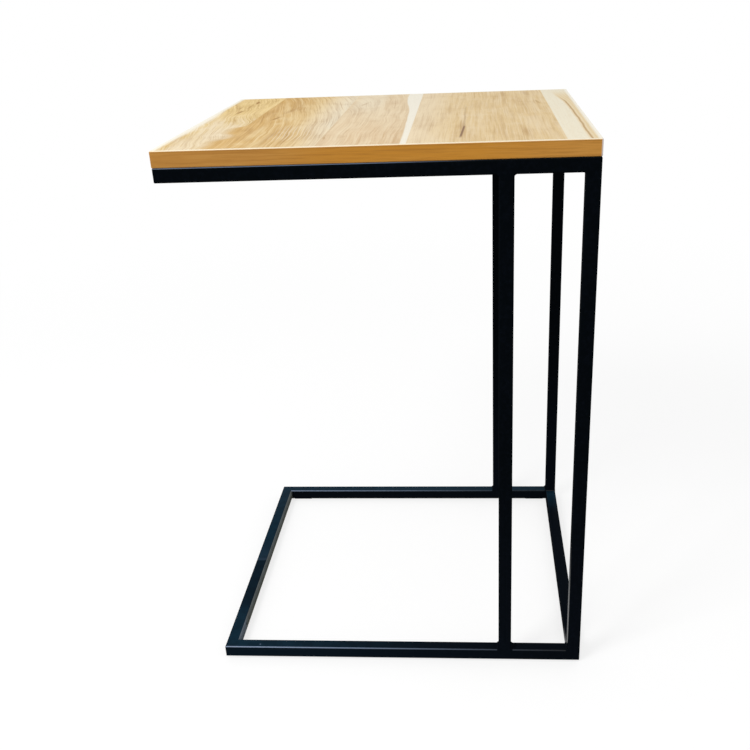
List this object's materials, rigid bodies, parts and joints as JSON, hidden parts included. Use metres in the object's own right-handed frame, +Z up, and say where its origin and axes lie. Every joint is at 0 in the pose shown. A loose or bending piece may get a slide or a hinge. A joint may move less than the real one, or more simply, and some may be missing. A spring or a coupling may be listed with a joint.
{
  "type": "c shaped side table",
  "caption": "C-shaped side table: a rectangular wood-faced board on a welded frame of square tube, open at one end so that its base slides under a seat.",
  "frame": {"origin": "bottom centre of the table's bounding box, on the floor", "axes": "+Z up; +X towards the end with the four posts, so that -X is the open end; the mirror plane is the XZ plane"},
  "size_m": [0.47, 0.42, 0.67],
  "materials": {
    "oak_laminate": "matt decor laminate printed with oak planks",
    "edge_band": "wood-print band with pale chamfered arrises",
    "chipboard": "raw chipboard",
    "liner": "plain balancing sheet",
    "frame_paint": "satin black powder coat on steel tube",
    "screw_steel": "zinc plated",
    "pad_rubber": "matt black rubber"
  },
  "bodies": {
    "root": {"top_laminate": "oak_laminate", "board_core": "chipboard", "underside_liner": "liner", "edge_band_near": "edge_band", "edge_band_far": "edge_band", "edge_band_open_end": "edge_band", "edge_band_post_end": "edge_band", "top_rail_near": "frame_paint", "top_rail_far": "frame_paint", "top_rail_open_end": "frame_paint", "top_rail_post_end": "frame_paint", "base_rail_near": "frame_paint", "base_rail_far": "frame_paint", "base_rail_open_end": "frame_paint", "base_rail_post_end": "frame_paint", "corner_post_near": "frame_paint", "corner_post_far": "frame_paint", "inner_post_near": "frame_paint", "inner_post_far": "frame_paint", "top_post_welds": "frame_paint", "base_post_welds": "frame_paint", "top_corner_welds": "frame_paint", "base_corner_welds": "frame_paint", "top_screws": "screw_steel", "foot_pad_near_open_end": "pad_rubber", "foot_pad_near_post_end": "pad_rubber", "foot_pad_far_open_end": "pad_rubber", "foot_pad_far_post_end": "pad_rubber"}
  },
  "joints": []
}
